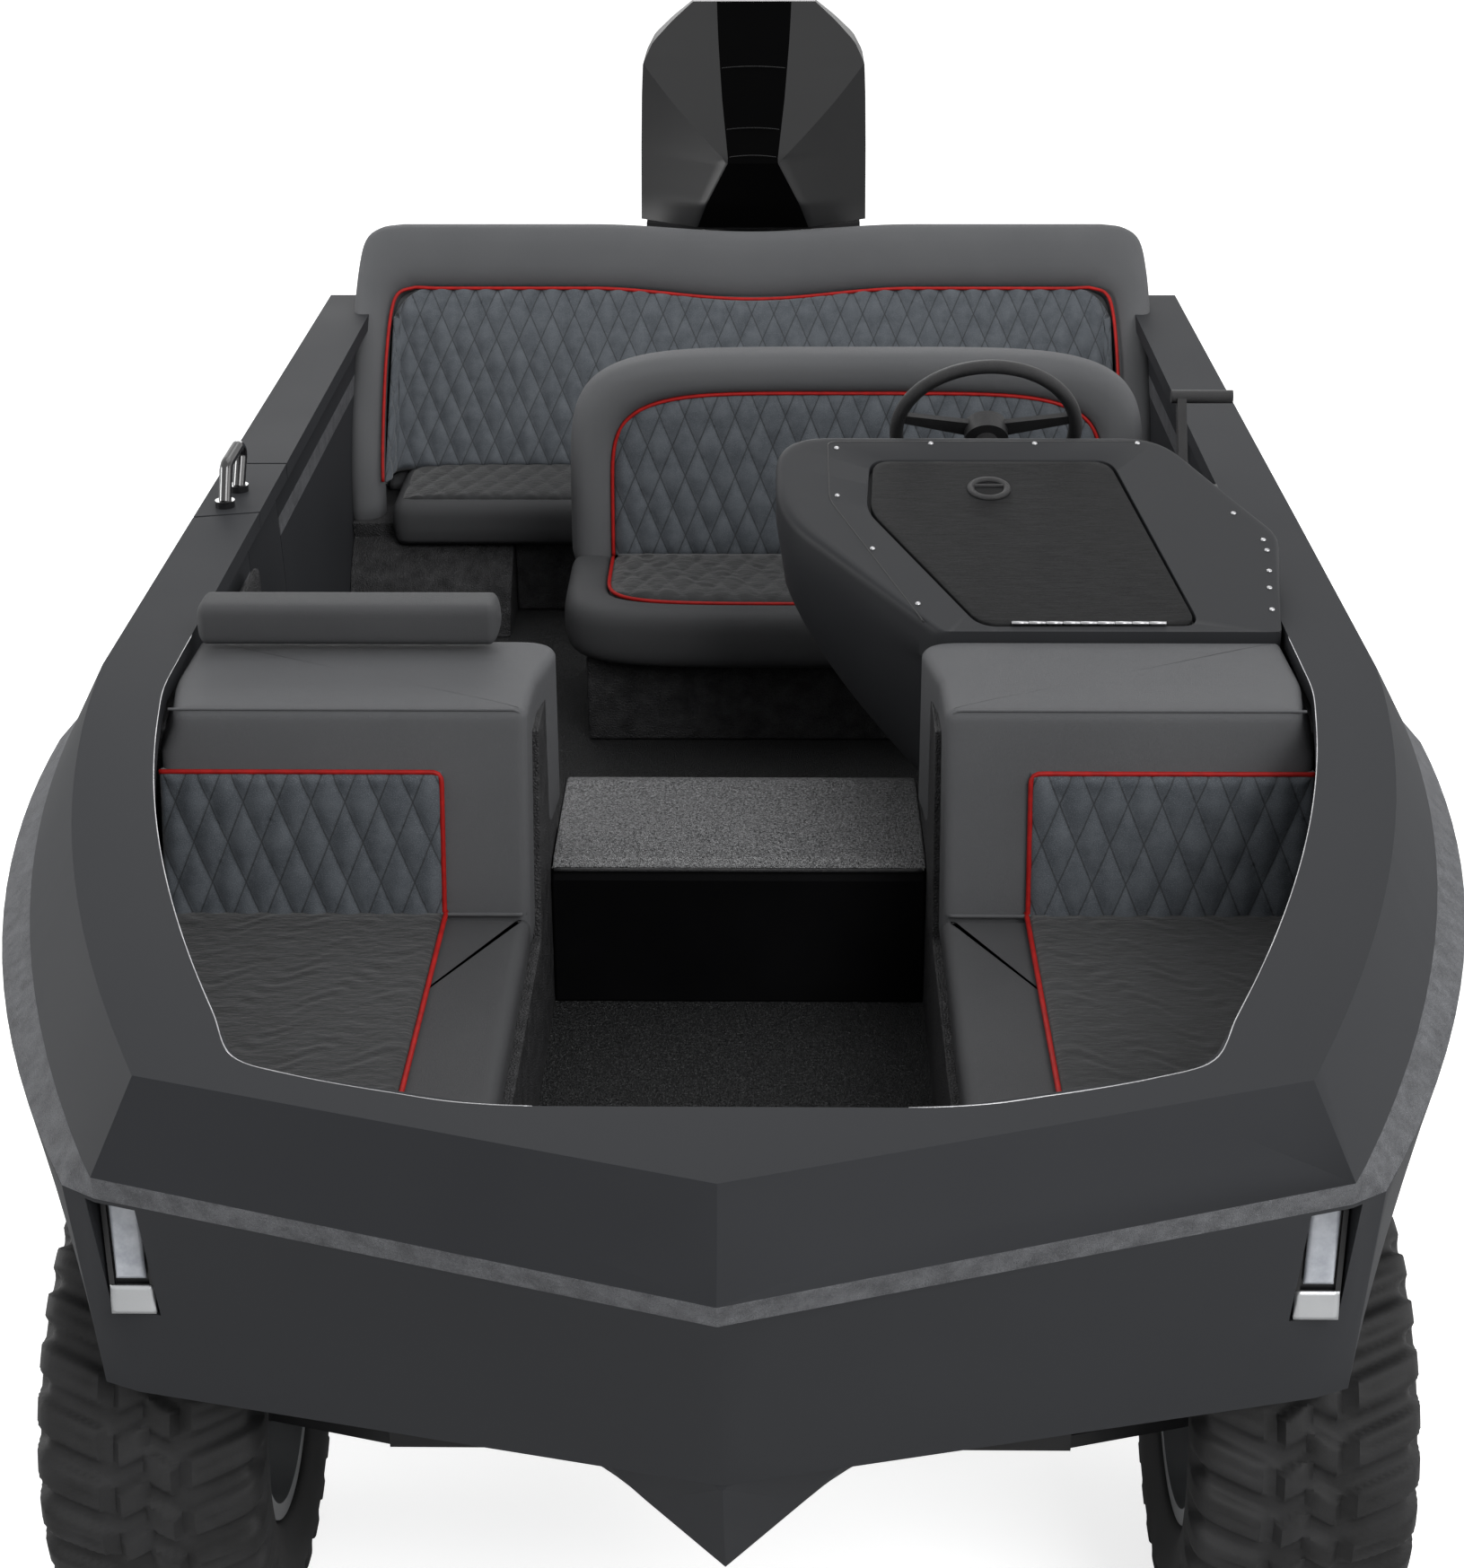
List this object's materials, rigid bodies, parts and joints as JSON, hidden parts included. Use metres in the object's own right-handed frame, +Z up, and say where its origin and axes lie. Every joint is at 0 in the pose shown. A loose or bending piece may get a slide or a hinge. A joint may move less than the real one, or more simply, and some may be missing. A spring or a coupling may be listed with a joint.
{
  "type": "amphibious vehicle",
  "caption": "Open four-wheeled amphibious vehicle with a boat hull, steered front wheels, bench seats, helm console and an outboard motor.",
  "frame": {"origin": "on the ground, at the middle of the overall length and width", "axes": "+Z up, -Y towards the bow, +X towards the vehicle's left side"},
  "size_m": [2.076, 4.519, 1.56],
  "materials": {
    "hull_paint": "satin charcoal paint",
    "band_grit": "grainy charcoal coating",
    "seat_vinyl": "matt grey marine vinyl",
    "floor_grit": "black non-slip grain",
    "base_black": "black grained moulding",
    "console_shell": "satin grey moulding",
    "hatch_grain": "dark brushed grain",
    "grip_black": "black grip",
    "tyre": "off-road tread",
    "rim_metal": "silver",
    "steel_parts": "brushed",
    "chassis_black": "black powder coat",
    "cowl_gloss": "gloss black",
    "motor_paint": "satin black",
    "prop_metal": "polished",
    "lamp_plastic": "black housing",
    "handle_gloss": "gloss black",
    "pack_block": "plain"
  },
  "bodies": {
    "hull": {"hull_bottom": "hull_paint", "bow_panel": "hull_paint", "side_left": "hull_paint", "side_right": "hull_paint", "transom": "hull_paint", "rub_band": "band_grit", "deck_ring": "hull_paint", "cockpit_floor": "floor_grit", "bow_seat_left": "base_black", "bow_seat_right": "base_black", "bow_cushion_left": "seat_vinyl", "bow_cushion_right": "seat_vinyl", "bow_back_left": "seat_vinyl", "bow_back_right": "seat_vinyl", "cap_roll": "seat_vinyl", "step_box": "floor_grit", "driver_base": "base_black", "driver_cushion": "seat_vinyl", "driver_back": "seat_vinyl", "rear_base": "base_black", "wheel_boxes": "base_black", "rear_cushion": "seat_vinyl", "rear_back": "seat_vinyl", "power_pack": "pack_block", "console": "console_shell", "throttle": "grip_black", "pedal": "chassis_black", "door_hinge": "steel_parts", "head_lamps": "lamp_plastic", "front_arms": "chassis_black", "rear_axle": "chassis_black", "motor_bracket": "motor_paint"},
    "door": {"boarding_door": "hull_paint", "grab_handle": "handle_gloss"},
    "lid": {"console_hatch": "hatch_grain"},
    "steering": {"steering_wheel": "grip_black"},
    "knuckle_left": {"knuckle_left": "steel_parts"},
    "knuckle_right": {"knuckle_right": "steel_parts"},
    "swivel": {"swivel_bracket": "motor_paint"},
    "motor": {"motor_leg": "motor_paint", "cowl_pan": "motor_paint", "motor_cowl": "cowl_gloss"},
    "propeller": {"propeller": "prop_metal"},
    "wheel_front_left": {"rim_front_left": "rim_metal", "tyre_front_left": "tyre"},
    "wheel_front_right": {"rim_front_right": "rim_metal", "tyre_front_right": "tyre"},
    "wheel_rear_left": {"rim_rear_left": "rim_metal", "tyre_rear_left": "tyre"},
    "wheel_rear_right": {"rim_rear_right": "rim_metal", "tyre_rear_right": "tyre"}
  },
  "joints": [
    {"name": "steer_left", "type": "hinge", "parent": "hull", "child": "knuckle_left", "pos_m": [0.668, -1.588, 0.3], "axis": [0, 0, 1], "range_deg": [-25, 25]},
    {"name": "steer_right", "type": "hinge", "parent": "hull", "child": "knuckle_right", "pos_m": [-0.668, -1.588, 0.3], "axis": [0, 0, 1], "range_deg": [-25, 25]},
    {"name": "steering_turn", "type": "hinge", "parent": "hull", "child": "steering", "pos_m": [0.42, 0.01, 1.125], "axis": [0, 0.866, 0.5], "range_deg": [-350, 350]},
    {"name": "door_swing", "type": "hinge", "parent": "hull", "child": "door", "pos_m": [-0.958, 0.21, 0.8], "axis": [0, 0, -1], "range_deg": [0, 95]},
    {"name": "lid_lift", "type": "hinge", "parent": "hull", "child": "lid", "pos_m": [0.54, -0.62318, 1.00788], "axis": [1, 0, 0], "range_deg": [0, 80]},
    {"name": "motor_tilt", "type": "hinge", "parent": "hull", "child": "swivel", "pos_m": [0, 1.73, 1.053], "axis": [1, 0, 0], "range_deg": [0, 65]},
    {"name": "motor_steer", "type": "hinge", "parent": "swivel", "child": "motor", "pos_m": [0, 1.815, 0.85], "axis": [0, 0, 1], "range_deg": [-30, 30]},
    {"name": "propeller_spin", "type": "hinge", "parent": "motor", "child": "propeller", "pos_m": [0, 2.15, 0.325], "axis": [0, 1, 0], "continuous": true},
    {"name": "roll_front_left", "type": "hinge", "parent": "knuckle_left", "child": "wheel_front_left", "pos_m": [0.708, -1.588, 0.3], "axis": [1, 0, 0], "continuous": true},
    {"name": "roll_front_right", "type": "hinge", "parent": "knuckle_right", "child": "wheel_front_right", "pos_m": [-0.708, -1.588, 0.3], "axis": [1, 0, 0], "continuous": true},
    {"name": "roll_rear_left", "type": "hinge", "parent": "hull", "child": "wheel_rear_left", "pos_m": [0.708, 1.1, 0.3], "axis": [1, 0, 0], "continuous": true},
    {"name": "roll_rear_right", "type": "hinge", "parent": "hull", "child": "wheel_rear_right", "pos_m": [-0.708, 1.1, 0.3], "axis": [1, 0, 0], "continuous": true}
  ],
  "couplings": [
    {"joint": "steer_right", "follows": "steer_left", "ratio": 1},
    {"joint": "steering_turn", "follows": "steer_left", "ratio": 14}
  ]
}
